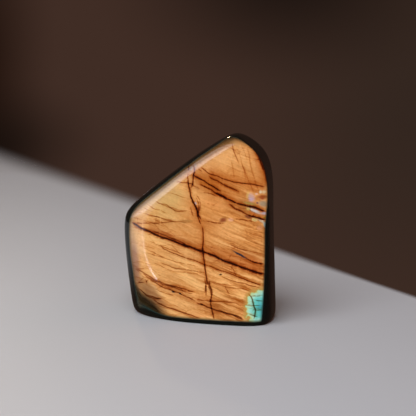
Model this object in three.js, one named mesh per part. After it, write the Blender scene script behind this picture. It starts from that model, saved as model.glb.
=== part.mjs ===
// A polished labradorite freeform: one solid piece of stone, ground flat underneath so that it stands
// with its broad face upright. Millimetres, +Z up, the face toward -Y. The origin lies on the surface
// that the stone stands on, under the middle of its box.
//
// The surface is worked out along rays that leave a heart point inside the stone. Each ground side is a
// plane at its own distance from the heart, and a smooth maximum of all the planes rounds the edges
// where two of them meet: the higher the sharpness, the tighter the rounding.
import * as THREE from 'three';

// Height of the heart above the base.
const HEART_HEIGHT = 45;

// Sides of the outline that run into the face through a wide, soft bevel.
const LEFT = { clock: 180, lean: 0, distance: 32.7 };
const UPPER_LEFT = { clock: 130.5, lean: 0, distance: 25.5 };
const SHOULDER = { clock: 122.5, lean: 0, distance: 28.3 };
const LOWER_LEFT = { clock: 212.5, lean: 0, distance: 58.8 };

// Sides of the outline that meet the face at a narrow edge.
const UPPER_RIGHT = { clock: 48, lean: 0, distance: 49.6 };
const RIGHT = { clock: 0.5, lean: 0, distance: 37.8 };

// The polished face, which leans back a little, and the two facets that take off its lower corners. The
// back brings the stone's right side down to two thirds of the left side's thickness.
const FACE = { clock: 90, lean: 88, distance: 13.5 };
const LOWER_LEFT_FACET = { clock: 231, lean: 65, distance: 30 };
const LOWER_RIGHT_FACET = { clock: 332, lean: 70, distance: 30.5 };
const BACK = { clock: 20, lean: -80, distance: 12.5 };

// Sharpness of the rounding between neighbouring planes.
const OUTLINE_SHARPNESS = 14;
const FACET_SHARPNESS = 12;
const SOFT_EDGE_SHARPNESS = 4.5;
const NARROW_EDGE_SHARPNESS = 9;
const BASE_EDGE_SHARPNESS = 24;

// The underside would lie this far below the base if the base edge weren't rounded.
const BASE_EDGE_ROUNDING = 1.2;

// Rays are aimed at a rounded box of these half sizes, so that they crowd together near the edges.
const HALF_WIDTH = 35;
const HALF_DEPTH = 15;
const CROWDING = 0.8;
const COLUMNS = 96;
const ROWS = 44;

const HALVINGS = 40;
const DEGREE = Math.PI / 180;

const POLISHED_LABRADORITE = new THREE.MeshStandardMaterial({
  color: '#b9803f',
  roughness: 0.15,
  metalness: 0,
});

// Outward direction of a plane. The clock angle turns in the plane of the face, from the right hand side
// up, and the lean tips the direction out of that plane toward the side that the face looks to.
function outward({ clock, lean }) {
  const level = Math.cos(lean * DEGREE);
  return new THREE.Vector3(
    Math.cos(clock * DEGREE) * level,
    -Math.sin(lean * DEGREE),
    Math.sin(clock * DEGREE) * level,
  );
}

function withNormal(plane) {
  return { normal: outward(plane), distance: plane.distance };
}

const SOFT_SIDES = [LEFT, UPPER_LEFT, SHOULDER, LOWER_LEFT].map(withNormal);
const NARROW_SIDES = [UPPER_RIGHT, RIGHT].map(withNormal);
const FACE_SIDE = [FACE, LOWER_LEFT_FACET, LOWER_RIGHT_FACET].map(withNormal);
const BACK_SIDE = [BACK].map(withNormal);

function smoothMaximum(values, sharpness) {
  const sum = values.reduce((total, value) => total + value ** sharpness, 0);
  return sum ** (1 / sharpness);
}

// How close a unit step along the ray comes to a group of planes, as a share of their distance.
function approach(ray, planes, sharpness) {
  const shares = planes.map(({ normal, distance }) => Math.max(0, ray.dot(normal)) / distance);
  return smoothMaximum(shares, sharpness);
}

// Distance from the heart to the stone's surface along a unit ray.
function reach(ray) {
  const softSides = approach(ray, SOFT_SIDES, OUTLINE_SHARPNESS);
  const narrowSides = approach(ray, NARROW_SIDES, OUTLINE_SHARPNESS);
  const face = approach(ray, FACE_SIDE, FACET_SHARPNESS);
  const back = approach(ray, BACK_SIDE, FACET_SHARPNESS);
  const slab = smoothMaximum([softSides, face, back], SOFT_EDGE_SHARPNESS);
  const body = smoothMaximum([slab, narrowSides], NARROW_EDGE_SHARPNESS);
  const underside = Math.max(0, -ray.z) / (HEART_HEIGHT + BASE_EDGE_ROUNDING);
  return 1 / smoothMaximum([body, underside], BASE_EDGE_SHARPNESS);
}

// Unit ray at an angle around the stone and an angle down from straight up.
function rayAt(around, down) {
  const level = Math.sin(down);
  return new THREE.Vector3(Math.cos(around) * level, Math.sin(around) * level, Math.cos(down));
}

// Angle down from straight up at which a column reaches the base, found by halving.
function baseAngle(around) {
  let above = Math.PI / 2;
  let below = Math.PI;
  for (let i = 0; i < HALVINGS; i += 1) {
    const middle = (above + below) / 2;
    const height = HEART_HEIGHT + reach(rayAt(around, middle)) * Math.cos(middle);
    if (height > 0) above = middle;
    else below = middle;
  }
  return above;
}

function crowded(value) {
  return Math.sign(value) * Math.abs(value) ** CROWDING;
}

// Points of one column, from just under the top to the base edge.
function column(index) {
  const turn = (2 * Math.PI * index) / COLUMNS;
  const sideways = HALF_WIDTH * crowded(Math.cos(turn));
  const forward = HALF_DEPTH * crowded(Math.sin(turn));
  const around = Math.atan2(forward, sideways);
  const breadth = Math.hypot(forward, sideways);
  const level = Math.PI / 2;
  const cornerAngle = Math.atan2(breadth, -HEART_HEIGHT);
  const lowerScale = (baseAngle(around) - level) / (cornerAngle - level);
  const points = [];
  for (let row = 1; row <= ROWS; row += 1) {
    const dip = (0.75 * Math.PI * row) / ROWS;
    const spread = breadth * crowded(Math.sin(dip));
    const drop = HEART_HEIGHT * crowded(Math.cos(dip));
    const aimed = Math.atan2(spread, drop);
    const down = aimed > level ? level + (aimed - level) * lowerScale : aimed;
    const ray = rayAt(around, down);
    points.push(ray.multiplyScalar(reach(ray)).add(new THREE.Vector3(0, 0, HEART_HEIGHT)));
  }
  points[ROWS - 1].z = 0;
  return points;
}

// The closed surface: a point on top, the columns, and a point in the middle of the flat base.
function stoneGeometry() {
  const up = new THREE.Vector3(0, 0, 1);
  const points = [new THREE.Vector3(0, 0, HEART_HEIGHT + reach(up))];
  for (let index = 0; index < COLUMNS; index += 1) points.push(...column(index));
  points.push(new THREE.Vector3(0, 0, 0));
  const underside = points.length - 1;
  const faces = [];
  for (let index = 0; index < COLUMNS; index += 1) {
    const here = 1 + index * ROWS;
    const next = 1 + ((index + 1) % COLUMNS) * ROWS;
    faces.push(0, here, next);
    for (let row = 0; row < ROWS - 1; row += 1) {
      faces.push(here + row, here + row + 1, next + row + 1);
      faces.push(here + row, next + row + 1, next + row);
    }
    faces.push(here + ROWS - 1, underside, next + ROWS - 1);
  }
  const geometry = new THREE.BufferGeometry().setFromPoints(points);
  geometry.setIndex(faces);
  geometry.computeVertexNormals();
  geometry.computeBoundingBox();
  return geometry;
}

const stone = new THREE.Mesh(stoneGeometry(), POLISHED_LABRADORITE);
stone.name = 'stone';
const middle = stone.geometry.boundingBox.getCenter(new THREE.Vector3());
stone.position.set(-middle.x, -middle.y, 0);

const freeform = new THREE.Group();
freeform.add(stone);

export default freeform;
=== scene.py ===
import math
from functools import partial

import bpy
import numpy as np
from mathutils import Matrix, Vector


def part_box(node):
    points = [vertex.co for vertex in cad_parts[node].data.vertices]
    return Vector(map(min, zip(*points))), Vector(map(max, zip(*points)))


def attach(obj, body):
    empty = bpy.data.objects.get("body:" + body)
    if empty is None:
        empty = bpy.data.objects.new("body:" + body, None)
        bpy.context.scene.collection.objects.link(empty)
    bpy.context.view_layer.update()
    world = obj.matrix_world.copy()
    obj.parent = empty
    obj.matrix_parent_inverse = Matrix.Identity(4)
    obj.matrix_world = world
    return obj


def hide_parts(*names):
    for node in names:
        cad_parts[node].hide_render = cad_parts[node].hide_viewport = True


bl_info = {
    "name": "Labradorite freeform",
    "version": (1, 0, 0),
    "blender": (4, 5, 0),
    "location": "3D View > Sidebar > Labradorite",
    "description": "Builds a polished labradorite freeform with an amber flash, and a stage for it",
    "category": "Add Mesh",
}

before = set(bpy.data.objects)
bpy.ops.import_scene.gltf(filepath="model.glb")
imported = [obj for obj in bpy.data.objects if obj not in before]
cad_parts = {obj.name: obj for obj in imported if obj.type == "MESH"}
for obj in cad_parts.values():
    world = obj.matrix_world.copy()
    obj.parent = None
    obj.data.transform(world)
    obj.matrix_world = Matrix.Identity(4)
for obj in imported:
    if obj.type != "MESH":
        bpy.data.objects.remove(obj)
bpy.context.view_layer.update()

MM = 0.001
DEGREE = math.pi / 180


def linear(code):
    """Linear red, green and blue of an sRGB hex code."""
    values = [int(code[i : i + 2], 16) / 255 for i in (0, 2, 4)]
    return tuple(v / 12.92 if v <= 0.04045 else ((v + 0.055) / 1.055) ** 2.4 for v in values)


# ---------------------------------------------------------------------------------------------------
# Form. Millimetres from a heart point inside the stone. A ground plane is its clock angle in the plane
# of the face (0 to the right, 90 up), its lean out of that plane toward the viewer, both in degrees,
# and its distance from the heart.
# ---------------------------------------------------------------------------------------------------
HEART_HEIGHT = 45.0
SOFT_SIDES = ((180, 0, 32.7), (130.5, 0, 25.5), (122.5, 0, 28.3), (212.5, 0, 58.8))
NARROW_SIDES = ((61.5, 0, 48.9), (1.4, 0, 37.6))
FACE_SIDE = ((90, 88, 13.5), (231, 65, 30.0), (332, 70, 30.5))
BACK_SIDE = ((20, -80, 12.5),)
OUTLINE_SHARPNESS = 14
NARROW_OUTLINE_SHARPNESS = 8.8
FACET_SHARPNESS = 12
SOFT_EDGE_SHARPNESS = 4.5
NARROW_EDGE_SHARPNESS = 9
CORNER_SHARPNESS = 34
BASE_EDGE_SHARPNESS = 24
BASE_EDGE_ROUNDING = 1.2
# The middle of the bruise on the rim, from the middle of the box's underside.
CHIP_MIDDLE = (-3.6, -10.0, 75.7)
# The polish waves fade in over this height above the base.
WAVE_RISE = 4
HALF_WIDTH = 35.0
HALF_DEPTH = 15.0
CROWDING = 0.8
LAST_DIP = 0.75 * math.pi
HALVINGS = 40

# The lamellae lie in one plane and throw light back only where the polish faces nearly along it. In the
# x and z of a surface normal that is a rounded square: its middle, and how far it reaches each way. Near
# the top of the stone the lamellae are bent, so that the flash reaches further to the right there:
# between two heights in millimetres its right reach grows. Lower down its left reach grows likewise.
FLASH_MIDDLE = (0.05, 0.20)
FLASH_LEFT = 0.43
FLASH_RIGHT = 0.42
FLASH_RIGHT_GAIN = 1.6
FLASH_BENT_HEIGHTS = (44.0, 76.0)
FLASH_LEFT_GAIN = 0.35
FLASH_LOW_HEIGHTS = (26.0, 12.0)
FLASH_DOWN = 0.46
FLASH_UP = 0.61
FLASH_SQUARENESS = 12
FLASH_LAST_TURN = 0.35
FLASH_TURN_LOSS = 2.5
NO_FLASH = 3.0
LOSS_TURN = (0.08, 0.30)
LOSS_LEFT = 0.25
LOSS_RISE = (0.22, 0.45)
LOSS_UPWARD = 0.35


def outward(plane):
    """Outward unit direction of a ground plane, from its clock angle and its lean."""
    clock, lean, _ = plane
    level = math.cos(lean * DEGREE)
    return np.array((
        math.cos(clock * DEGREE) * level,
        -math.sin(lean * DEGREE),
        math.sin(clock * DEGREE) * level,
    ))


def smooth_maximum(values, sharpness):
    """The values' power mean without its division: close to the largest, and round where two meet."""
    return sum(value ** sharpness for value in values) ** (1 / sharpness)


def approach(ray, planes, sharpness):
    """How close a unit step along each ray comes to a group of planes, as a share of their distance."""
    shares = [np.maximum(0, ray @ outward(plane)) / plane[2] for plane in planes]
    return smooth_maximum(shares, sharpness)


def surface_share(ray):
    """One over the distance from the heart to the surface along each unit ray. Faces and soft sides
    meet in a wide rounding, narrow sides in one that grows tighter toward the upper right corner,
    by the fourth power of twice the ray's x times its z, and the underside in a small one."""
    soft = approach(ray, SOFT_SIDES, OUTLINE_SHARPNESS)
    narrow = approach(ray, NARROW_SIDES, NARROW_OUTLINE_SHARPNESS)
    face = approach(ray, FACE_SIDE, FACET_SHARPNESS)
    back = approach(ray, BACK_SIDE, FACET_SHARPNESS)
    slab = smooth_maximum((soft, face, back), SOFT_EDGE_SHARPNESS)
    corner = np.clip(2 * ray[..., 0] * ray[..., 2], 0, 1) ** 4
    tightness = NARROW_EDGE_SHARPNESS + (CORNER_SHARPNESS - NARROW_EDGE_SHARPNESS) * corner
    body = smooth_maximum((slab, narrow), tightness)
    under = np.maximum(0, -ray[..., 2]) / (HEART_HEIGHT + BASE_EDGE_ROUNDING)
    return smooth_maximum((body, under), BASE_EDGE_SHARPNESS)


def ray_at(around, down):
    """Unit rays at an angle around the stone and an angle down from straight up."""
    level = np.sin(down)
    return np.stack((np.cos(around) * level, np.sin(around) * level, np.cos(down)), -1)


def crowded(value):
    """A signed power below one, which crowds the grid together near the stone's edges."""
    return np.sign(value) * np.abs(value) ** CROWDING


def stone_grid(columns, rows):
    """Points of the stone on a grid of columns around it and rows down it, in millimetres. Each ray is
    aimed at a rounded box and goes as far as the surface. Below the heart the rows are squeezed, so
    that the last one lies on the base edge, whose angle is found for all columns by halving."""
    turn = 2 * math.pi * np.arange(columns) / columns
    sideways = HALF_WIDTH * crowded(np.cos(turn))
    forward = HALF_DEPTH * crowded(np.sin(turn))
    around = np.arctan2(forward, sideways)
    breadth = np.hypot(forward, sideways)
    level = math.pi / 2
    above = np.full(columns, level)
    below = np.full(columns, math.pi)
    for _ in range(HALVINGS):
        middle = (above + below) / 2
        high = HEART_HEIGHT + np.cos(middle) / surface_share(ray_at(around, middle)) > 0
        above = np.where(high, middle, above)
        below = np.where(high, below, middle)
    squeeze = (above - level) / (np.arctan2(breadth, -HEART_HEIGHT) - level)
    dip = LAST_DIP * np.arange(1, rows + 1) / rows
    spread = breadth[:, None] * crowded(np.sin(dip))
    drop = np.broadcast_to(HEART_HEIGHT * crowded(np.cos(dip)), spread.shape)
    aimed = np.arctan2(spread, drop)
    down = np.where(aimed > level, level + (aimed - level) * squeeze[:, None], aimed)
    ray = ray_at(np.broadcast_to(around[:, None], down.shape), down)
    points = ray / surface_share(ray)[..., None]
    points[..., 2] += HEART_HEIGHT
    points[:, -1, 2] = 0
    return points


def grid_normals(points):
    """Unit normals of a grid that closes around its columns: the cross product of the step to the next
    row and the step to the next column."""
    along = np.roll(points, -1, 0) - np.roll(points, 1, 0)
    down = np.gradient(points, axis=1)
    normal = np.cross(down, along)
    return normal / np.linalg.norm(normal, axis=-1, keepdims=True)


def smooth_step(values, start, end):
    """Rises smoothly from 0 at the start to 1 at the end."""
    share = np.clip((values - start) / (end - start), 0, 1)
    return share * share * (3 - 2 * share)


def flash_angle(normals, heights):
    """How far each normal lies from the middle of the flash, where 1 is the flash's edge: the power mean
    of its offsets in x and z, each over the flash's reach on that side. It grows as the surface turns
    away from the front, so that the flash ends before the back."""
    x, y, z = np.moveaxis(normals, -1, 0)
    aside = x - FLASH_MIDDLE[0]
    rise = z - FLASH_MIDDLE[1]
    right = FLASH_RIGHT * (1 + FLASH_RIGHT_GAIN * smooth_step(heights, *FLASH_BENT_HEIGHTS))
    left = FLASH_LEFT * (1 + FLASH_LEFT_GAIN * smooth_step(heights, *FLASH_LOW_HEIGHTS))
    aside = aside / np.where(aside > 0, right, left)
    rise = rise / np.where(rise > 0, FLASH_UP, FLASH_DOWN)
    away = smooth_maximum((np.abs(aside), np.abs(rise)), FLASH_SQUARENESS)
    return away + FLASH_TURN_LOSS * np.maximum(0, y + FLASH_LAST_TURN)


def flash_loss(normals):
    """The share of the flash that is lost where the polish turns to the left, and upward as well."""
    x, _, z = np.moveaxis(normals, -1, 0)
    turned = smooth_step(-x, *LOSS_TURN)
    return turned * (LOSS_LEFT + LOSS_UPWARD * smooth_step(z, *LOSS_RISE))


def hand_polish(points, height):
    """Low waves that lapping by hand leaves: three sine waves of unlike lengths in unlike directions."""
    x, y, z = np.moveaxis(points, -1, 0)
    first = np.sin(x / 2.9 + z / 4.1)
    second = np.sin(x / 5.3 - z / 3.7 + 1.3)
    third = np.sin(z / 2.6 + y / 3.1 + 2.1)
    return height * (first + second + third) / 3


def chip(points, centre, radius, depth):
    """A shell-shaped bruise: the depth falls off as a bell round its centre, with ripples inside."""
    away = np.linalg.norm(points - np.array(centre), axis=-1) / radius
    return -depth * np.exp(-away ** 2) * (1 + 0.35 * np.sin(7 * away))


def closed_mesh(name, top, points, bottom):
    """A mesh of quads between neighbouring columns and rows, closed by a fan at the top and the bottom.
    The top comes first in the list of points, then the columns, then the bottom."""
    columns, rows = points.shape[:2]
    index = 1 + np.arange(columns * rows).reshape(columns, rows)
    after = np.roll(index, -1, 0)
    quads = np.stack((index[:, :-1], index[:, 1:], after[:, 1:], after[:, :-1]), -1).reshape(-1, 4)
    last = columns * rows + 1
    cap = np.stack((np.zeros(columns, int), index[:, 0], after[:, 0]), -1)
    floor = np.stack((np.full(columns, last), after[:, -1], index[:, -1]), -1)
    vertices = np.vstack((top, points.reshape(-1, 3), bottom))
    mesh = bpy.data.meshes.new(name)
    mesh.from_pydata(vertices, [], quads.tolist() + cap.tolist() + floor.tolist())
    mesh.shade_smooth()
    return mesh


# ---------------------------------------------------------------------------------------------------
# Marks in the stone: x and z in millimetres on a flat sheet held before the face, from the middle of
# the box's underside. A seam is its half width, its darkness and its points, x and z by turns.
# ---------------------------------------------------------------------------------------------------
# The face bows back from the sheet, and the sheet was seen from a little above and aside, so a mark
# lies further left and lower on the stone the further it is from the face's middle. Each shift is a
# constant and two squares: of x, and of the height over SHEET_MIDDLE.
SHEET_MIDDLE = 20.0
SHIFT_LEFT = (0.27, 0.0005, 0.00022)
SHIFT_DOWN = (-0.50, 0.00019, 0.00037)

# Cleavage cracks that slope down to the right. Their points run from left to right.
SLOPING_SEAMS = (
    (0.62, 1.2, (-30, 46.7, -25, 44.3, -20.5, 42.6, -16, 40.5, -11, 39.2, -1.5, 36.1)),
    (0.66, 1.25, (-6, 37.7, 3, 34.7, 8, 33.3, 13.5, 31, 23, 28.2, 28.5, 26.5, 34.5, 25.2)),
    (0.3, 0.6, (-20, 43, -13, 41, -7, 38.9, -3, 37.4)),
    (0.36, 0.8, (2.9, 74.8, 5.2, 73.7, 7.6, 72, 9.7, 71.5, 12, 71)),
    (0.34, 0.75, (9.7, 71.4, 12.6, 70.6, 15.4, 69.5, 19.2, 68.8, 22.5, 68.3, 25.8, 68.1)),
    (0.3, 0.8, (22.5, 68.2, 25.8, 68.1, 29.2, 67.9, 32, 67.4, 35.1, 66.8)),
    (0.26, 0.55, (1.8, 73.7, 3.6, 73.2, 5, 72.4)),
    (0.5, 0.75, (6.4, 71.2, 9.2, 69.6, 12.4, 68.2, 15.4, 66.7, 18.7, 65.3, 23, 63.7)),
    (0.44, 1, (-1, 71.7, 0.6, 70.5, 2.9, 69.5, 6.3, 67.9, 8.8, 66.3, 11.4, 64.8, 14.2, 63.6)),
    (0.46, 0.8, (2.4, 67, 5.5, 65.7, 8.8, 64.2, 10.4, 63.1, 13.7, 61.5, 16.8, 60.1)),
    (0.48, 1.2, (10.2, 63.2, 13.7, 61.5, 16.8, 60.1, 19.7, 58.8, 21.9, 58.3, 24.2, 57.8, 27.2, 57.2)),
    (0.55, 1.3, (24.9, 57.6, 27.2, 57.2, 29.5, 56.9, 31.8, 55.9, 34.8, 55)),
    (0.55, 0.8, (15.9, 58.4, 18.2, 57.1, 19.7, 55.9, 21.9, 55.3, 24.2, 54, 26.4, 53.1)),
    (0.5, 1.2, (24.2, 54, 26.4, 53.1, 29.1, 52.3, 31.5, 51.8, 33.3, 51.2, 35.1, 51.1)),
    (0.26, 0.6, (3.3, 63.4, 4.7, 62.8, 7.1, 62.6, 9.7, 61.9, 11.8, 61.2)),
    (0.26, 0.5, (18.2, 50.8, 21.1, 50.9, 22.7, 50.7, 25.7, 50.3, 28, 50.2, 30.2, 49.8)),
    (0.24, 0.5, (27.5, 14.6, 29.9, 14.6, 33.7, 14.8)),
    (0.3, 0.5, (28.4, 12.7, 31.3, 12.4, 33.9, 11.7)),
    (0.26, 0.5, (29.4, 7.7, 33.7, 8.1)),
    (0.3, 0.55, (25.8, 6.2, 28.6, 5.3, 32, 4.5)),
    (0.36, 0.8, (18.2, 5.4, 20.6, 4.2, 22.6, 3.5, 25.1, 3)),
    (0.36, 0.45, (-24.9, 22.4, -21.6, 20.4, -18.7, 19.1, -14.9, 17.8, -10.2, 16.7, -6.9, 15.7, -3.1, 14.4,
        0.7, 13.8)),
    (0.24, 0.6, (-27, 17.7, -25.4, 17.7, -22.8, 17.9)),
    (0.3, 0.7, (-26.3, 14.9, -25.4, 14, -23.9, 12.6, -20.1, 11.4, -16.8, 10.6, -14, 10.5)),
    (0.34, 0.9, (-29.6, 10.7, -28.7, 10, -26.3, 8.7, -23, 7.4, -19.2, 5.7, -15.4, 3.7)),
    (0.26, 0.4, (-19.2, 58, -18.2, 57.6, -15.1, 56.4, -12.5, 56, -10.3, 54.5, -8.3, 53.3, -5.1, 53.4,
        -1.2, 53.7)),
    (0.24, 0.4, (-23.9, 51.5, -23, 51.2, -18.7, 50.4, -15.1, 49.5, -11.4, 48.4, -7.8, 47.8)),
    (0.26, 0.5, (-9.2, 67, -5.1, 67, -0.9, 66.7, 1.2, 65.2, 4.5, 64.5)),
    (0.22, 0.3, (-15.4, 62.8, -12.6, 61.7, -9.7, 61.6, -5.9, 60.4, -2.6, 59.6)),
    (0.22, 0.3, (-22, 55.3, -19.2, 54, -15.4, 53.2, -11.6, 51.7)),
    (0.24, 0.35, (-22, 38.5, -17.8, 36.8, -13, 35.2, -8.3, 33.7, -3.1, 32.3)),
    (0.22, 0.35, (-23.5, 34.2, -19.2, 32.9, -14.9, 31, -9.7, 29.1, -3.1, 28, 3.6, 27.1)),
    (0.22, 0.3, (-20.1, 28.1, -15.4, 26.4, -11.6, 24.7, -5.9, 24, 3.6, 23.8)),
    (0.24, 0.4, (7.3, 20.4, 11.1, 19.1, 14.9, 18.4, 20.6, 17.9, 27.3, 17.8)),
    (0.28, 0.7, (3, 49.2, 8, 48.9, 13.5, 48.4, 15.5, 48.2)),
    (0.2, 0.45, (-28.5, 46.4, -18.5, 46.9, -10, 48, -5, 48.2, -1, 47.9)),
    (0.35, 0.3, (-22, 50.6, -15, 49.6, -8.5, 48.3)),
    (0.35, 0.3, (-18.5, 57.4, -14, 55.7, -9, 54.6)),
    (0.28, 0.65, (-16.5, 38.5, -15, 35.4, -12, 33.9, -5, 31.4, 2, 29.4, 8, 27.6, 13, 26)),
    (0.3, 0.7, (10, 26.9, 13, 26, 19, 24.2, 26, 21.7, 33.5, 20)),
    (0.24, 0.3, (-24.5, 35.9, -20.5, 35.1, -17, 34)),
    (0.24, 0.3, (-23.5, 32.6, -18, 31.4, -13, 30.2)),
    (0.26, 0.5, (-16.5, 28, -12, 26.8, -9, 25.8, -2.5, 25.2, 6, 24.4)),
    (0.34, 0.55, (-28, 24.3, -22, 21.6, -18, 19.5, -12, 17.7, -5.5, 16.2, 1.5, 14.7)),
    (0.3, 0.65, (-21.5, 19.5, -15.5, 16.7, -10, 14.9, -5, 13.1, 0, 10.9, 6, 8.4)),
    (0.45, 1, (2, 10, 6, 8.4, 13, 6.4, 20.5, 4.9, 24.5, 3.6)),
    (0.28, 0.5, (-19, 15.2, -12, 13.1, -8.5, 12.8)),
    (0.32, 0.6, (-28, 15.1, -22.5, 11.6, -19.5, 10.5, -14.5, 10.4)),
    (0.36, 0.7, (-20, 10.3, -16, 7.8, -8, 5.5, -0.5, 3.4, 4, 2.6)),
    (0.25, 0.5, (-29, 6.6, -25, 5.8, -18.5, 4.9)),
    (0.2, 0.5, (-28.5, 17, -23.5, 17.7)),
    (0.28, 0.6, (0.5, 11.5, 8, 11, 17.5, 11, 23.5, 9.9)),
    (0.28, 0.45, (22, 10.2, 27, 10.1, 33, 10.1)),
    (0.26, 0.45, (12, 23.2, 18.5, 21.3, 25.5, 20, 33, 18.5)),
    (0.22, 0.35, (6.5, 20.4, 15, 19.2, 22.5, 19)),
    (0.24, 0.45, (5, 37.6, 11.5, 35.9, 17.5, 34.3)),
    (0.22, 0.4, (15, 33.3, 23.5, 32.6)),
    (0.28, 0.55, (16, 38.6, 23.5, 36.5, 30.5, 35.3, 34, 34.3)),
    (0.42, 1, (23.9, 33.2, 25.8, 32.1, 28.2, 31, 30.6, 30.3, 34.6, 29.9)),
)
# Cracks that run down the face. Their points run from the bottom up, with z before x.
STEEP_SEAMS = (
    (0.4, 1, (18, 6.9, 24, 5.9, 30, 5.1, 35.5, 4.5, 41.5, 4.7, 47.5, 4.4)),
    (0.34, 0.8, (46, 4.4, 48.5, 3, 51, 2.3, 54, 1.6, 56.5, 0.6, 59, -0.4, 62, -1.5)),
    (0.42, 1, (48.9, 3.9, 52.5, 2.3, 55.6, 1.2, 57.8, 0.2, 60.3, -0.9, 63.4, -1.5, 66.6, -2.2, 70.1, -2.5)),
    (0.26, 0.6, (67.9, -2.6, 70.6, -2.5, 72.3, -2.2)),
    (0.26, 0.5, (17.5, -23, 18.7, -22.3, 19.9, -21.3)),
    (0.34, 0.7, (11.7, 6.3, 16, 6.1, 19.4, 5.9, 22.2, 5.5)),
    (0.3, 0.5, (12.3, 8.8, 16.1, 8, 19, 7.3, 21.3, 6.9)),
    (0.22, 0.35, (22.5, 21.1, 25.3, 19.7, 28.1, 18.7)),
    (0.22, 0.35, (12.3, 18.5, 15.1, 16.8, 17.9, 15.9)),
    (0.4, 0.95, (71.7, -1, 72.7, -2.2, 74.2, -2.5, 75.4, -2.7)),
    (0.42, 0.95, (63.9, -1, 65.9, -0.4, 68, 0, 70.8, 0.1, 72.3, 0.4, 73.8, 0.5, 76.1, -0.4)),
    (0.24, 0.5, (51.2, 1.8, 53.6, 2.7, 55.6, 3.2, 58.2, 3.3, 61.5, 1.8, 62.8, 1.1)),
    (0.3, 0.6, (50.5, 2, 54, 2.4, 57.5, 2.5, 61, 1.4)),
    (0.3, 0.5, (50, 0.4, 53, -0.7, 56.5, -1.3)),
    (0.34, 0.7, (13.5, 5.4, 17, 6, 20, 6.5)),
    (0.38, 0.9, (1.5, 10, 4.5, 9.6, 9.5, 8.4, 15.5, 8.8, 18, 8.1, 21.5, 7.5)),
    (0.28, 0.45, (76.6, 22.3, 78.4, 21.4, 82.7, 19.7, 86.4, 18.5, 87.8, 17.8)),
    (0.4, 0.2, (69.3, 20, 71.2, 19.6, 75, 19, 78.5, 18.2, 80.2, 17.9)),
    (0.46, 0.22, (62.6, 28.9, 67.7, 27.3, 72.2, 25.4, 76.6, 23.7, 79, 22.8)),
    (0.42, 0.2, (63.2, 31.3, 70.7, 29.2, 77.3, 27.4, 83.5, 26.4, 85.8, 25.6)),
    (0.3, 0.16, (68.6, 25.4, 71.4, 24.9, 76.2, 23.9, 80.9, 22.5, 86.1, 20.6)),
    (0.55, 0.6, (68.1, 34.7, 75.7, 33.9, 81.8, 32, 86, 29.6, 87.9, 28.2)),
    (0.5, 0.75, (73.8, 33.7, 79.9, 31.5, 83.2, 29.9, 88.3, 26.8, 89.7, 25.8)),
    (0.24, 0.18, (78.2, 26.1, 81, 25.4, 84.8, 23.9, 88.1, 22.5)),
    (0.22, 0.4, (23.5, 21.6, 29, 17.6)),
    (0.22, 0.4, (13.5, 18.8, 16, 16.7, 20, 14.9)),
    (0.24, 0.5, (16.5, -22.2, 20, -22.8)),
    (0.34, 0.85, (2.9, 28.6, 4.1, 29.2, 5.9, 29.7, 7.7, 29.8, 9.1, 29.2, 10.1, 28.9, 13.2, 28.1, 14.9, 26.9,
        16.6, 25.5)),
)

# The seams' curves count both x and z as shares of one span, from these starts.
SEAM_SPAN = 90
SPAN_LEFT = -45
# A seam's darkness rises and falls over the fade's length at its two ends, and on a short seam over its own
# length divided by SHORT_SEAM. It is never more than the most. Cracks are drawn this much finer than listed.
SEAM_FADE = 2.5
SHORT_SEAM = 2.2
MOST_DARKNESS = 2.0
CRACK_FINENESS = 0.72
# Shades beside seams, where light is lost over a step in the lamellae: the half width above, the half
# width below, the darkness and the points. The steep ones have the half widths to the right and left, and
# z before x.
SHADES = (
    (3.4, 0.7, 0.75, (-22, 43.2, -11, 39.2, -1.5, 36.1, 8, 33.3, 23, 28.2, 34.5, 25.2)),
    (2.6, 0.6, 0.7, (2.1, 67, 5.5, 65.7, 8.8, 64.2, 13.7, 61.5, 19.7, 58.8, 27.2, 57.2, 34.8, 55)),
    (2.4, 1.4, 0.55, (6.4, 73.4, 12.1, 71, 19.2, 68.8, 27.3, 68, 34.8, 66.8)),
    (1.2, 2.2, 0.6, (-0.7, 71.6, 6.3, 67.9, 14.2, 63.6)),
    (1, 1.4, 0.5, (6.4, 71.2, 12.4, 68.2, 23, 63.7)),
    (1.4, 1.6, 0.6, (14, 59.2, 19.7, 55.9, 24.2, 54, 29.1, 52.3, 35.1, 51.1)),
    (2.4, 0.6, 0.4, (17, 36.3, 23.5, 33.3, 30, 31, 34.5, 30)),
    (1.6, 0.8, 0.35, (-12, 33.9, 2, 29.4, 13, 26, 26, 21.7, 34, 19.6)),
    (0.8, 1.8, 0.3, (-20, 18.8, -10, 14.9, 0, 10.9, 13, 6.4, 24.5, 3.6)),
    (1.2, 0.8, 0.14, (-28, 24.3, -18, 19.5, -5.5, 16.2, 1.5, 14.7)),
    (1.4, 0.8, 0.3, (-20, 10.3, -8, 5.5, 4, 2.6)),
    (1.2, 1.2, 0.3, (-28, 46.4, -10, 48, -1, 47.9)),
    (1.6, 1.6, 0.35, (3, 49.2, 8, 48.9, 15.5, 48.2)),
    (1.8, 0.8, 0.35, (0.5, 11.5, 17.5, 11, 33, 10.1)),
)
STEEP_SHADES = (
    (1.2, 1.6, 0.5, (18, 6.9, 30, 5.1, 41.5, 4.7, 47.5, 4.4)),
    (1, 2.4, 0.5, (44.6, 4.7, 50.3, 3.1, 56.4, 0.7, 62, -0.9, 68.2, -2.4)),
    (2.4, 1.6, 0.75, (65.3, 34.8, 74.8, 34.1, 81.8, 32, 87.9, 28.2)),
)

# Through the stone the cracks sink toward the back, from a little behind the face.
CRACK_LEAN_START = -8
CRACK_LEAN = 0.3


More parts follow.
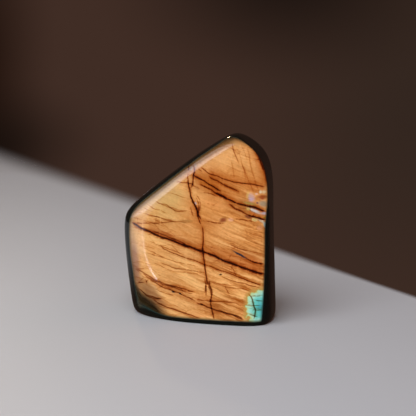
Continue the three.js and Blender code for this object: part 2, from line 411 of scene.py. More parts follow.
def add_node(tree, kind, inputs=None, **settings):
    """Adds one shader node, gives it its settings, and fills its inputs, which are named in a dictionary or
    follow each other in a tuple: a node or a socket is linked, and a value is set on the socket."""
    node = tree.nodes.new("ShaderNode" + kind)
    for name, value in settings.items():
        setattr(node, name, value)
    if isinstance(inputs, tuple):
        inputs = dict(enumerate(inputs))
    for key, value in (inputs or {}).items():
        if isinstance(value, bpy.types.Node):
            value = next(socket for socket in value.outputs if socket.enabled)
        if isinstance(value, bpy.types.NodeSocket):
            tree.links.new(value, node.inputs[key])
        else:
            node.inputs[key].default_value = value
    return node


def shape_curve(curve, points):
    """Puts a curve through points that are given as pairs from 0 to 1."""
    for spare, (x, y) in zip(curve.points, (points[0], points[-1])):
        spare.location = (x, y)
    for x, y in points[1:-1]:
        curve.points.new(x, y)


def shape_ramp(node, stops):
    """Gives a colour ramp its stops: a place, and a linear colour or an sRGB hex code."""
    ramp = node.color_ramp
    ramp.elements.remove(ramp.elements[1])
    for number, (place, colour) in enumerate(stops):
        element = ramp.elements[0] if number == 0 else ramp.elements.new(place)
        element.position = place
        element.color = (*(linear(colour) if isinstance(colour, str) else colour), 1)
    return node


def on_face(x, z):
    """Where on the stone a point of the sheet lies."""
    squares = (1, x ** 2, (z - SHEET_MIDDLE) ** 2)
    left = sum(share * square for share, square in zip(SHIFT_LEFT, squares))
    down = sum(share * square for share, square in zip(SHIFT_DOWN, squares))
    return x - left, z - down


def span_share(x, z):
    """The shares of the seams' span at which a point of the sheet lies, in x and in z."""
    x, z = on_face(x, z)
    return (x - SPAN_LEFT) / SEAM_SPAN, z / SEAM_SPAN


def seam_sum(add, along, across, seams, steep, total, finer=1):
    """Adds up the darkness of many seams. Each seam's place is a curve over the way along it. Its
    darkness is d / (1 + t squared), where t is the distance over the half width on that side, so a seam
    has a dark heart and a soft edge. Three seams at a time share one curve node, in its x, y and z."""
    for first in range(0, len(seams), 3):
        batch = list(seams[first : first + 3])
        place = add("VectorCurve", {"Vector": along})
        power = add("VectorCurve", {"Vector": along})
        above, below = [1.0] * 3, [-1.0] * 3
        for channel, (width_above, width_below, darkness, points) in enumerate(batch):
            above[channel] = SEAM_SPAN / (width_above * finer)
            below[channel] = -SEAM_SPAN / (width_below * finer)
            pairs = zip(points[::2], points[1::2])
            way = [span_share(b, a)[::-1] if steep else span_share(a, b) for a, b in pairs]
            start, end = way[0][0], way[-1][0]
            fade = min(SEAM_FADE / SEAM_SPAN, (end - start) / SHORT_SEAM)
            height = darkness / MOST_DARKNESS
            weight = ((0, 0), (start, 0), (start + fade, height), (end - fade, height), (end, 0), (1, 0))
            shape_curve(place.mapping.curves[channel], ((0, way[0][1]), *way, (1, way[-1][1])))
            shape_curve(power.mapping.curves[channel], weight)
        for channel in range(len(batch), 3):
            shape_curve(place.mapping.curves[channel], ((0, 0), (1, 0)))
            shape_curve(power.mapping.curves[channel], ((0, 0), (1, 0)))
        place.mapping.update()
        power.mapping.update()
        away = add("VectorMath", (across, place), operation="SUBTRACT")
        upper = add("VectorMath", (away, above), operation="MULTIPLY")
        lower = add("VectorMath", (away, below), operation="MULTIPLY")
        far = add("VectorMath", (upper, lower), operation="MAXIMUM")
        spread = add("VectorMath", (far, far, (1, 1, 1)), operation="MULTIPLY_ADD")
        dark = add("VectorMath", (power, spread), operation="DIVIDE")
        three = add("VectorMath", (dark, (MOST_DARKNESS,) * 3), operation="DOT_PRODUCT")
        total = add("Math", (three, total), operation="ADD")
    return total


def soft_patch(add, base, vector, middle, reach, turn, colour, inner, amount):
    """Mixes a colour over a base inside a soft ellipse of x and z that goes right through in y. It covers by
    its amount within the inner share of its reach, and falls smoothly to nothing at the reach."""
    space = add(
        "Mapping",
        {"Vector": vector, "Location": (middle[0], 0, middle[1]), "Rotation": (0, turn * DEGREE, 0),
         "Scale": (reach[0], THROUGH, reach[1])},
        vector_type="TEXTURE",
    )
    near = add("TexGradient", {"Vector": space}, gradient_type="SPHERICAL")
    cover = add(
        "MapRange", {"Value": near.outputs["Fac"], "From Max": 1 - inner, "To Max": amount},
        interpolation_type="SMOOTHSTEP",
    )
    return add("Mix", {0: cover, 6: base, 7: (*linear(colour), 1)}, data_type="RGBA")


# Broad zones of the flash, gold where the stone is clear and rust between the cracks: the middle and the
# half lengths along and across the grain, the turn down to the right in degrees, the colour, the amount.
ZONES = (
    ("clear top", (16.8, 81), (17, 7), 0, "e6a868", 0.75),
    ("upper left", (-13, 58), (12, 13), 0, "cea465", 0.9),
    ("left", (-15.4, 28.5), (12, 8), 15, "dba162", 0.6),
    ("under the knot", (10.7, 57.8), (7, 3), 10, "de9759", 0.6),
    ("middle", (6, 55), (15, 15), 15, "cc7c38", 0.35),
    ("middle right", (15.4, 44), (9, 4), 8, "dd9858", 0.6),
    ("right of the rift", (14, 29.7), (6, 3), 15, "d8965a", 0.5),
    ("lower right", (14, 16.4), (8, 4), 10, "d29150", 0.5),
    ("lower left", (-8.3, 8.2), (7, 3), 12, "dea262", 0.5),
    ("foot", (2, 3.9), (6, 2), 0, "dc9558", 0.5),
    ("between the top cracks", (6.5, 68), (10, 6), 22, "ab5f22", 0.85),
    ("right edge", (32, 78), (12, 3.2), 72, "b8601c", 0.6),
    ("top rim", (19, 90.5), (14, 4.5), 0, "6b4528", 0.85),
    ("right", (27.3, 30.5), (8, 5), 20, "ad5826", 0.5),
    ("rift", (6, 32.7), (9, 3), 18, "ae6530", 0.4),
    ("lower middle", (9.7, 7.6), (9, 4), 15, "a4602c", 0.5),
    ("lower streak", (-6.9, 14.9), (7, 2.5), 20, "a8642a", 0.5),
    ("left streak", (-16.8, 42.6), (5, 2), 25, "b4713a", 0.5),
    ("middle streak", (-4.5, 38.4), (6, 2), 25, "a8602a", 0.5),
    ("under the level crack", (6, 47.5), (7, 2.5), 0, "b0662c", 0.45),
    ("brown right", (25.4, 57), (6, 5), 20, "90602f", 0.45),
)
# Patches of another colour in the flash: the middle and the half lengths along and across the grain in
# millimetres, the turn down to the right in degrees, the colour, and how much of it shows.
PATCHES = (
    ("pale streak below the line", (-17.8, 15.3), (4.5, 0.8), 38, "ecc088", 0.7),
    # The brown corner and the two dark corner patches are painted shade: they darken the flash to brown and
    # near black at the lower left, where the face curves away.
    ("brown corner", (-19.7, 12.4), (11.8, 4.3), 48, "84583a", 0.75),
    ("dark corner", (-22, 6.7), (14.2, 5), 38, "1f1a14", 0.95),
    ("dark corner above", (-27.3, 12.9), (5.7, 1.9), 70, "3a2e20", 0.85),
    # The veil on the left is painted reflection and shade: along the left bevel it dulls the flash to a
    # pinkish brown, a pale veil of mirrored table over a dimmer flash.
    ("veil on the left", (-27.7, 26.8), (14.2, 2.8), 85, "b07c5c", 0.9),
    ("brown where the cracks part", (-3.6, 48.5), (4.3, 1), -6, "9a6a34", 0.6),
    ("olive gold", (-8.3, 60.2), (4.7, 3.3), -40, "cda566", 0.5),
    ("rust under the rift", (18.2, 34.1), (9.5, 1.1), 17, "b05a20", 0.5),
    ("lilac cloud", (27.5, 61.6), (2.7, 2.1), 60, "c8a49c", 0.8),
    ("lilac heart", (27.6, 60.7), (1.3, 1), 0, "b9a0b8", 0.7),
    ("gold rim", (25.9, 62.7), (2.5, 0.8), 100, "d8ac54", 0.55),
    ("pink dot", (30.1, 63.4), (0.8, 0.6), 0, "dcb4a4", 0.75),
    ("cream dot", (32, 64.5), (1, 0.8), 0, "e2d0aa", 0.85),
    ("cream dot at the edge", (33.7, 64.4), (1.2, 0.9), 0, "dcc296", 0.75),
    ("red-brown", (32.7, 62), (2.9, 1.3), 0, "96441a", 0.9),
    ("red heart", (32.9, 61.2), (0.7, 0.4), 0, "a02c18", 0.7),
    ("grey tan", (33.1, 58.9), (2.7, 1.8), 10, "a08c72", 0.9),
    ("olive band", (27, 58.6), (3.6, 0.8), 10, "a08c48", 0.7),
    ("purple dot", (30.4, 59.1), (0.6, 0.5), 0, "4c3050", 0.9),
    ("white streak", (29.1, 55.4), (4, 1), 27, "cfc6c4", 0.95),
    ("lilac end", (33.6, 54), (1.6, 0.9), 10, "beb0be", 0.9),
    ("yellow end", (26.3, 56), (1.4, 0.9), 20, "d6bc68", 0.75),
    ("orange streak", (28, 54.1), (2.4, 0.5), 27, "cf6824", 0.75),
    ("olive dot", (33.7, 52.1), (0.8, 0.4), 0, "8c861e", 0.85),
    ("maroon", (26.2, 52.2), (2.3, 0.9), 15, "6b2f22", 0.85),
    ("cream spot", (29.2, 51), (1.6, 0.9), 5, "dfd294", 0.95),
    ("pale streak", (32.5, 50.3), (2.9, 0.8), 35, "cfc2ac", 0.8),
    ("cyan edge", (34.5, 48.3), (2, 1.2), 60, "93bcc0", 0.9),
    ("pink", (31.5, 47.1), (1.7, 1.4), 0, "dc9a70", 0.5),
    ("smudge", (14.2, 50.1), (2.1, 1.5), -20, "84361c", 0.88),
    ("light oval", (17.8, 50.4), (1.6, 0.9), 0, "eab08c", 0.8),
    ("dot", (12.9, 23.9), (0.9, 0.6), 0, "401a12", 0.97),
    ("slate blade", (22.1, 34), (5, 0.62), 27.5, "1e2a38", 1),
    ("pit", (-9.4, 14.3), (1.2, 0.5), 15, "121a26", 0.97),
    ("second pit", (-6.2, 13.6), (1, 0.5), 15, "121a26", 0.97),
    ("blue glint", (1.1, 57.6), (0.9, 0.5), 80, "b4a8b0", 0.85),
    # The two pale bruise patches are painted highlights: greyish white glints on the notch of the chip on
    # the upper left rim.
    ("bruise", (-1, 73.8), (1.1, 0.7), 80, "cdb9a6", 0.7),
    ("highlight above the bruise", (1, 75.2), (1.1, 0.6), 70, "cbb49e", 0.6),
    ("brown under the bruise", (1.9, 64.7), (1.4, 1), 20, "a4683a", 0.6),
)
GRAIN_TURN = 20 * DEGREE
# Sets of fine cleavages: the turn in degrees, the distance between two, how far they waver as a share of
# it, the length of a waver in millimetres, the half width, the darkness, the field that shows them.
LAYERS = (
    (18, 2.9, 2.6, 16, 0.24, 0.22, "Blue"),
    (14, 1.25, 2.6, 11, 0.22, 0.12, "Green"),
)
# Sizes of the patterns in millimetres: how far cracks wander and over what length, the streaks, clouds and
# net cells each way, and the mottling.
WANDER = (0.9, 0, 0.9)
WANDER_LENGTH = 3.5
GRAIN_SIZE = (13.0, 10.0, 1.6)
CLOUD_SIZE = (20.0, 12.0, 7.0)
NET_SIZE = (9.5, 9.0, 5.0)
NET_TURN = 12 * DEGREE
NET_HAIR = 0.05
NET_DARKNESS = 0.2
NET_PLACES = (0.46, 0.62)
MOTTLE_SIZE = 1.1
# The most that a shade turns the flash to rust. The shares of its half lengths between which a broad zone
# fades out, and those for a smaller patch.
MOST_SHADE = 0.85
ZONE_EDGE = (0.0, 1.35)
PATCH_EDGE = (0.3, 1.15)
# A patch reaches evenly through the stone's whole depth.
THROUGH = 1000
# The flash angles over which the flash dims and then dies out, and how bright it still is when dim.
FLASH_DIMS = (0.65, 1.05)
FLASH_DIMMED = 0.65
FLASH_DIES = (0.86, 1.3)
# In millimetres, the heights over which the flash comes up from the foot, and the depths over which the
# faint glow of the back takes its place.
FOOT_RISE = (1.8, 3.8)
BACK_GLOW = (7.0, 13.0)
FELDSPAR_INDEX = 1.56
# Ramps of a place and a colour: what a crack's iron stain leaves of the flash as the crack grows darker, the
# faint glow of the back as the flash grows warmer, and the blue patch toward its outer edge.
STAIN = (
    (0, (1, 1, 1)), (0.12, (0.92, 0.82, 0.7)), (0.3, (0.66, 0.43, 0.28)),
    (0.6, (0.28, 0.12, 0.06)), (1, (0.06, 0.02, 0.012)),
)
GLOW = ((0, "5a5430"), (0.14, "4c5a3c"), (0.24, "2c6a68"), (0.38, "24506c"), (0.56, "1c3038"))
BLUE_ENDS = ((0.8, "a8e4d2"), (0.93, "bcdcae"), (1.06, "bcb85a"), (1.25, "c49650"))
BLUE_EDGE_SIZE = 3.0
# How fast the waver of the fine sheets changes with each millimetre of y and z, and the range of a field
# over which they come to be seen.
SHEET_DRIFT = (0.1, 0.25)
SHEET_PLACES = (0.36, 0.6)
BLUE_PATCH_MIDDLE = (32.4, 9.0)
BLUE_PATCH_REACH = (9.2, 11.6)


def length_property(name, description, millimetres):
    """A property that holds a length, from millimetres."""
    size = millimetres * MM
    return bpy.props.FloatProperty(name=name, description=description, default=size, unit="LENGTH")


def radiance_property(name, description, radiance):
    """A property that holds the radiance of a lamp."""
    return bpy.props.FloatProperty(name=name, description=description, default=radiance, min=0)


def colour_property(name, description, code):
    """A property that holds a colour, from an sRGB hex code."""
    return bpy.props.FloatVectorProperty(
        name=name, description=description, size=3, subtype="COLOR", default=linear(code), min=0, max=1
    )


class LABRADORITE_PG_form(bpy.types.PropertyGroup):
    """Sizes of the stone's surface"""

    columns: bpy.props.IntProperty(
        name="Columns", description="Points around the stone", default=340, min=96, max=340
    )
    rows: bpy.props.IntProperty(
        name="Rows", description="Points from the top to the base", default=260, min=44, max=260
    )
    wave_height: length_property("Polish waves", "Height of the waves left by hand lapping", 0.03)
    chip_radius: length_property("Chip radius", "Radius of the bruise on the upper left rim", 1.3)
    chip_depth: length_property("Chip depth", "Depth of the bruise on the upper left rim", 0.35)


class LABRADORITE_PG_colours(bpy.types.PropertyGroup):
    """Colours of the labradorite"""

    gold: colour_property("Gold", "Flash where the stone is clear", "e4ae6e")
    amber: colour_property("Amber", "Flash in the middle of the face", "d8924f")
    rust: colour_property("Rust", "Flash beside the cracks", "b05a18")
    body: colour_property("Body", "Feldspar where nothing flashes", "0e1310")
    blue: colour_property("Blue-green", "Flash in the lower right corner", "6ccfc8")


class LABRADORITE_PG_stage(bpy.types.PropertyGroup):
    """Sizes and lights of the stage"""

    window: radiance_property("Window", "Radiance of the window that the polish reflects", 1.9)
    front: radiance_property("Front light", "Radiance of the light on the face", 5.25)
    key: radiance_property("Key light", "Radiance of the soft light that falls on the table", 4.6)
    glint: radiance_property("Glint", "Radiance of the small lamp that sparkles on the peak", 120)
    lit_edge: radiance_property("Lit edge", "Radiance of the thin line that the face mirrors", 12)
    table: colour_property("Table", "Colour of the table top", "dcdbdb")


def stone_space(add):
    """Places in the stone in millimetres, the same places as the cracks meet them, and both as shares of
    the seams' span in x and z. Cracks wander by a few tenths of a millimetre over a few millimetres, and
    they sink toward the back."""
    coordinates = add("TexCoord")
    in_mm = add("VectorMath", (coordinates.outputs["Object"], (1 / MM,) * 3), operation="MULTIPLY")
    wander = add("TexNoise", {"Vector": in_mm, "Scale": 1 / WANDER_LENGTH, "Detail": 3.0})
    centred = add("VectorMath", (wander.outputs["Color"], (0.5, 0.5, 0.5)), operation="SUBTRACT")
    bent = add("VectorMath", (centred, WANDER, in_mm), operation="MULTIPLY_ADD")
    parts = add("SeparateXYZ", (bent,))
    depth = add("Math", (parts.outputs["Y"], CRACK_LEAN_START), operation="SUBTRACT")
    depth = add("Math", (depth, 0.0), operation="MAXIMUM")
    sunk = add("Math", (depth, CRACK_LEAN, parts.outputs["Z"]), operation="MULTIPLY_ADD")
    start = -SPAN_LEFT / SEAM_SPAN
    share_x = add("Math", (parts.outputs["X"], 1 / SEAM_SPAN, start), operation="MULTIPLY_ADD")
    share_z = add("Math", (sunk, 1 / SEAM_SPAN), operation="MULTIPLY")
    return in_mm, bent, share_x, share_z


def fine_cracks(add, bent, fields, total):
    """Adds hairlines to the darkness of the seams: a net of cleavages, and sets of evenly spaced sheets
    that waver. Each shows only in places, where its field is high."""
    space = add(
        "Mapping", {"Vector": bent, "Rotation": (0, NET_TURN, 0), "Scale": NET_SIZE}, vector_type="TEXTURE"
    )
    net = add("TexVoronoi", {"Vector": space, "Scale": 1.0}, feature="DISTANCE_TO_EDGE")
    hair = add("MapRange", {"Value": net, "From Max": NET_HAIR, "To Min": NET_DARKNESS, "To Max": 0.0})
    some = add(
        "MapRange", {"Value": fields.outputs["Green"], "From Min": NET_PLACES[0], "From Max": NET_PLACES[1]},
        interpolation_type="SMOOTHSTEP",
    )
    total = add("Math", (hair, some, total), operation="MULTIPLY_ADD")
    for turn, apart, waver, long, width, most, place in LAYERS:
        space = add("Mapping", {"Vector": bent, "Rotation": (0, turn * DEGREE, 0)}, vector_type="TEXTURE")
        space = add("VectorMath", (space, (1 / long, *SHEET_DRIFT)), operation="MULTIPLY")
        drift = add("TexNoise", {"Vector": space, "Scale": 1.0})
        level = add("SeparateXYZ", (space,))
        level = add("Math", (level.outputs["Z"], 1 / (SHEET_DRIFT[1] * apart)), operation="MULTIPLY")
        sheet = add("Math", (drift, waver, level), operation="MULTIPLY_ADD")
        sheet = add("Math", (sheet, 0.5), operation="PINGPONG")
        sheet = add("MapRange", {"Value": sheet, "From Max": width / apart, "To Min": most, "To Max": 0.0})
        some = add(
            "MapRange",
            {"Value": fields.outputs[place], "From Min": SHEET_PLACES[0], "From Max": SHEET_PLACES[1]},
            interpolation_type="SMOOTHSTEP",
        )
        total = add("Math", (sheet, some, total), operation="MULTIPLY_ADD")
    return total


def flash_warmth(add, share_x, share_z, grain, cloud, mottle):
    """How warm the flash is: gold at 0, amber at a half and rust at 1. It grows toward the right, and the
    streaks that vary it are stronger to the right and lower down. Returns it, the streaks and their
    strength."""
    across = add("Math", (cloud, 1.2, -0.8), operation="MULTIPLY_ADD")
    across = add("Math", (share_x, 0.62, across), operation="MULTIPLY_ADD")
    streak = add("Math", (grain, 0.5), operation="SUBTRACT")
    strength = add("Math", (share_x, 3.0, 0.3), operation="MULTIPLY_ADD")
    lower = add("Math", (share_z, -1.25, 1.5), operation="MULTIPLY_ADD")
    strength = add("Math", (strength, lower), operation="MULTIPLY")
    warmth = add("Math", (streak, strength, across), operation="MULTIPLY_ADD")
    warmth = add("Math", (mottle, 0.3, warmth), operation="MULTIPLY_ADD")
    return warmth, streak, strength


def flash_colour(add, colours, warmth, shade, bent):
    """The flash's colour without its cracks: a ramp of its warmth, rust in the shades, and the marks."""
    flash = shape_ramp(
        add("ValToRGB", (warmth,)), ((0.0, colours.gold), (0.5, colours.amber), (1.0, colours.rust))
    )
    shade = add("Math", (shade, MOST_SHADE), operation="MINIMUM")
    flash = add("Mix", {0: shade, 6: flash, 7: (*colours.rust, 1)}, data_type="RGBA")
    for marks, (inner, outer) in ((ZONES, ZONE_EDGE), (PATCHES, PATCH_EDGE)):
        for name, middle, reach, turn, colour, amount in marks:
            size = (reach[0] * outer, reach[1] * outer)
            share = inner / outer
            flash = soft_patch(add, flash, bent, on_face(*middle), size, turn, colour, share, amount)
            flash.label = name
    return flash


def flash_brightness(add, streak, strength, mottle):
    """How bright the flash is: streaks and mottling darken and lighten it, it dims toward the edge of the
    angles at which it shows, and part is lost where the polish turns left and up. Returns it and the
    flash angle."""
    tone = add("Math", (streak, strength), operation="MULTIPLY")
    tone = add("Math", (tone, -0.35, 1.15), operation="MULTIPLY_ADD")
    tone = add("Math", (mottle, -0.3, tone), operation="MULTIPLY_ADD")
    angle = add("Attribute", attribute_name="flash_angle", attribute_type="GEOMETRY").outputs["Fac"]
    dim = add(
        "MapRange",
        {"Value": angle, "From Min": FLASH_DIMS[0], "From Max": FLASH_DIMS[1], "To Min": 1.0,
         "To Max": FLASH_DIMMED},
        interpolation_type="SMOOTHSTEP",
    )
    loss = add("Attribute", attribute_name="flash_loss", attribute_type="GEOMETRY")
    kept = add("Math", (1.0, loss.outputs["Fac"]), operation="SUBTRACT")
    tone = add("Math", (tone, dim), operation="MULTIPLY")
    return add("Math", (tone, kept), operation="MULTIPLY"), angle


def blue_corner(add, colours, in_mm, bent, streak, flash):
    """Lays the blue-green patch over the flash: rings of colour about an ellipse, whose edge noise and the
    streaks roughen."""
    left, low = on_face(*BLUE_PATCH_MIDDLE)
    reach = (BLUE_PATCH_REACH[0], THROUGH, BLUE_PATCH_REACH[1])
    space = add(
        "Mapping", {"Vector": bent, "Location": (left, 0, low), "Scale": reach}, vector_type="TEXTURE"
    )
    away = add("VectorMath", (space,), operation="LENGTH")
    rough = add("TexNoise", {"Vector": in_mm, "Scale": 1 / BLUE_EDGE_SIZE})
    away = add("Math", (rough, 0.5, away), operation="MULTIPLY_ADD")
    away = add("Math", (streak, 0.12, away), operation="MULTIPLY_ADD")
    blue = shape_ramp(add("ValToRGB", (away,)), ((0.35, "4cb0ba"), (0.58, colours.blue), *BLUE_ENDS))
    cover = add(
        "MapRange", {"Value": away, "From Min": 1.0, "From Max": 1.3, "To Min": 1.0, "To Max": 0.0},
        interpolation_type="SMOOTHSTEP",
    )
    return add("Mix", {0: cover, 6: flash, 7: blue}, data_type="RGBA")


def polished_labradorite(colours):
    """Polished labradorite, a plagioclase feldspar, lapped and buffed to a glassy skin. Under the skin
    thin lamellae throw back amber light where they face the eye, and cleavage cracks stained by iron
    cross them. Seen off that angle the stone is a dark grey-green. The skin is the clear coat."""
    material = bpy.data.materials.new("polished_labradorite")
    material.use_nodes = True
    material.node_tree.nodes.clear()
    add = partial(add_node, material.node_tree)
    in_mm, bent, share_x, share_z = stone_space(add)

    sloping = [(width, width, darkness, points) for width, darkness, points in SLOPING_SEAMS]
    steep = [(width, width, darkness, points) for width, darkness, points in STEEP_SEAMS]
    total = seam_sum(add, share_x, share_z, sloping, False, 0.0, CRACK_FINENESS)
    total = seam_sum(add, share_z, share_x, steep, True, total, CRACK_FINENESS)
    shade = seam_sum(add, share_x, share_z, SHADES, False, 0.0)
    shade = seam_sum(add, share_z, share_x, STEEP_SHADES, True, shade)

    along_grain = (0, GRAIN_TURN, 0)
    space = add(
        "Mapping", {"Vector": bent, "Rotation": along_grain, "Scale": GRAIN_SIZE}, vector_type="TEXTURE"
    )
    grain = add(
        "TexNoise", {"Vector": space, "Scale": 1.0, "Detail": 4.0, "Roughness": 0.55, "Distortion": 0.5}
    )
    space = add(
        "Mapping", {"Vector": in_mm, "Rotation": along_grain, "Scale": CLOUD_SIZE}, vector_type="TEXTURE"
    )
    cloud = add("TexNoise", {"Vector": space, "Scale": 1.0, "Detail": 3.0})
    fields = add("SeparateColor", (cloud.outputs["Color"],))
    mottle = add("TexNoise", {"Vector": in_mm, "Scale": 1 / MOTTLE_SIZE, "Detail": 4.0})

    total = fine_cracks(add, bent, fields, total)
    warmth, streak, strength = flash_warmth(add, share_x, share_z, grain, cloud, mottle)
    flash = flash_colour(add, colours, warmth, shade, bent)
    tone, angle = flash_brightness(add, streak, strength, mottle)
    flash = add("Mix", {0: 1.0, 6: flash, 7: tone}, data_type="RGBA", blend_type="MULTIPLY")
    flash = blue_corner(add, colours, in_mm, bent, streak, flash)
    stain = shape_ramp(add("ValToRGB", (total,)), STAIN)
    flash = add("Mix", {0: 1.0, 6: flash, 7: stain}, data_type="RGBA", blend_type="MULTIPLY")

    shown = add(
        "MapRange",
        {"Value": angle, "From Min": FLASH_DIES[0], "From Max": FLASH_DIES[1], "To Min": 1.0, "To Max": 0.0},
        interpolation_type="SMOOTHSTEP",
    )
    place = add("SeparateXYZ", (in_mm,))
    lifted = add(
        "MapRange", {"Value": place.outputs["Z"], "From Min": FOOT_RISE[0], "From Max": FOOT_RISE[1]},
        interpolation_type="SMOOTHSTEP",
    )
    shown = add("Math", (shown, lifted), operation="MULTIPLY")
    # Where the flash dies out it turns olive and then teal.
    rim = shape_ramp(add("ValToRGB", (shown,)), ((0.0, colours.body), (0.15, "1c3836"), (0.4, "332c18")))
    colour = add("Mix", {0: shown, 6: rim, 7: flash}, data_type="RGBA")

    # From behind the lamellae are seen through more stone: faint clouds of teal, blue and old gold, each
    # a few centimetres long, under the same cracks.
    glow = shape_ramp(add("ValToRGB", (warmth,)), (*GLOW, (0.8, colours.body)))
    glow = add("Mix", {0: 1.0, 6: glow, 7: stain}, data_type="RGBA", blend_type="MULTIPLY")
    behind = add(
        "MapRange", {"Value": place.outputs["Y"], "From Min": BACK_GLOW[0], "From Max": BACK_GLOW[1]},
        interpolation_type="SMOOTHSTEP",
    )
    colour = add("Mix", {0: behind, 6: colour, 7: glow}, data_type="RGBA")

    shader = add(
        "BsdfPrincipled",
        {"Base Color": colour, "Roughness": 0.42, "IOR": FELDSPAR_INDEX, "Specular IOR Level": 0.0,
         "Coat Weight": 1.0, "Coat Roughness": 0.085, "Coat IOR": FELDSPAR_INDEX},
    )
    add("OutputMaterial", {"Surface": shader})
    return material


class LABRADORITE_OT_stone(bpy.types.Operator):
    """Make the polished stone, in the place of the plain solid"""

    bl_idname = "labradorite.stone"
    bl_label = "Stone"

    def execute(self, context):
        form = context.scene.labradorite_form
        points = stone_grid(form.columns, form.rows)
        normals = grid_normals(points)
        angle = flash_angle(normals, points[..., 2])
        waves = hand_polish(points, form.wave_height / MM)
        low, high = points.reshape(-1, 3).min(0), points.reshape(-1, 3).max(0)
        middle = (low + high) / 2
        shift = np.array((middle[0], middle[1], 0))
        bruise = chip(points - shift, CHIP_MIDDLE, form.chip_radius / MM, form.chip_depth / MM)
        moved = points + normals * (waves * np.minimum(1, points[..., 2] / WAVE_RISE) + bruise)[..., None]
        top = np.array(((0, 0, HEART_HEIGHT + 1 / surface_share(np.array((0.0, 0.0, 1.0)))),))
        bottom = np.zeros((1, 3))
        box_low, box_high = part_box("stone")
        box_middle = (np.array(box_low) + np.array(box_high)) / 2
        place = np.array((box_middle[0], box_middle[1], box_low[2])) - shift * MM
        mesh = closed_mesh("labradorite", top * MM + place, moved * MM + place, bottom * MM + place)
        for name, field, end in (("flash_angle", angle, NO_FLASH), ("flash_loss", flash_loss(normals), 0.0)):
            attribute = mesh.attributes.new(name, "FLOAT", "POINT")
            values = np.concatenate(((end,), field.ravel(), (end,))).astype(np.float32)
            attribute.data.foreach_set("value", values)
        stone = bpy.data.objects.new("labradorite", mesh)
        context.collection.objects.link(stone)
        mesh.materials.append(polished_labradorite(context.scene.labradorite_colours))
        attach(stone, "root")
        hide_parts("stone")
        return {"FINISHED"}


# ---------------------------------------------------------------------------------------------------
# Stage. Azimuths are degrees to the left of straight in front of the face, elevations degrees up.
# ---------------------------------------------------------------------------------------------------
AIM = Vector((3.05, 1.2, 51.7)) * MM
CAMERA_AZIMUTH = 12.0
CAMERA_ELEVATION = 13.0
CAMERA_DISTANCE = 700 * MM
SENSOR = 36.0
LENS = 128.6
# The table's far edge lies at this distance, in a direction this many degrees left of the X axis. It is
# out of focus, more so the further it runs to the left.
TABLE_EDGE = 102.4 * MM
TABLE_EDGE_TURN = 47.1
TABLE_SIZE = 1600 * MM
TABLE_MARGIN = 90 * MM
TABLE_THICKNESS = 24 * MM
EDGE_BLUR = 6 * MM
EDGE_BLUR_GROWTH = 0.095
# Outline of the part of the table that the left rim mirrors, in millimetres.
GLEAM = ((-31, -70), (-31, 300), (-500, 300), (-500, -288), (-200, -288))
GLEAM_HEIGHT = 0.3 * MM
# Toward the stone the sheet fades out about this x, over this width, so that the rim mirrors dark there:
# painted shade that stands for the stone's contact shadow on the table.
GLEAM_END = -80 * MM
GLEAM_FADE = 80 * MM
# The sheet's lit edge, which the face mirrors as a thin line: its ends in millimetres.
LIT_EDGE = ((-42, -83), (-140, -225))
LIT_EDGE_WIDTH = 2 * MM

# The pieces that a lamp falls on alone, and the lamps: azimuth, elevation, distance, width and height in
# metres, the setting that its radiance comes from, its share of it, the colour, and the pieces it lights.
# One that lights no pieces is only mirrored in the polish.
STONE = ("labradorite",)
TABLE = ("table", "table_gleam")
DAYLIGHT = "f6f6ff"
LIGHTS = (
    ("window", 51, 25, 0.5, 0.31, 0.37, "window", 1.0, DAYLIGHT, ()),
    ("window_middle", 43, 21, 0.49, 0.15, 0.22, "window", 1.25, DAYLIGHT, ()),
    ("window_foot", 46, -1, 0.17, 0.098, 0.082, "window", 0.6, DAYLIGHT, ()),
    ("front", 12, 22, 1.0, 0.9, 0.7, "front", 1.0, "ffffff", STONE),
    ("rear", 172, 14, 1.0, 0.9, 0.7, "front", 0.7, "ffffff", STONE),
    ("key", 18, 55, 0.8, 0.65, 0.55, "key", 1.0, "f2f7ff", TABLE),
    ("overhead", 20, 80, 1.0, 1.2, 1.0, "key", 0.055, "f2f7ff", TABLE),
    ("room", -115, 25, 0.8, 0.8, 0.5, "key", 0.11, "b8704a", TABLE),
    ("glint", 151, 30, 0.9, 0.045, 0.045, "glint", 1.0, "ffe2b0", ()),
)

# Soft shades on the backdrop far behind the stone: azimuth, elevation, half width and half height in
# degrees, the colour and the amount.
BACKDROP = "402d25"
BACKDROP_SHADES = (
    (176.5, -9.0, 9.5, 12.0, "2c231d", 0.7),
    (171.0, -4.0, 8.0, 5.0, "150f0c", 0.85),
    (159.0, -7.5, 3.2, 9.0, "1a0c06", 0.9),
    (159.6, -10.6, 4.6, 3.0, "120c09", 0.8),
)


def direction(azimuth, elevation):
    """Unit vector from the stone toward an azimuth left of the front and an elevation."""
    level = math.cos(elevation * DEGREE)
    return Vector((
        -math.sin(azimuth * DEGREE) * level,
        -math.cos(azimuth * DEGREE) * level,
        math.sin(elevation * DEGREE),
    ))


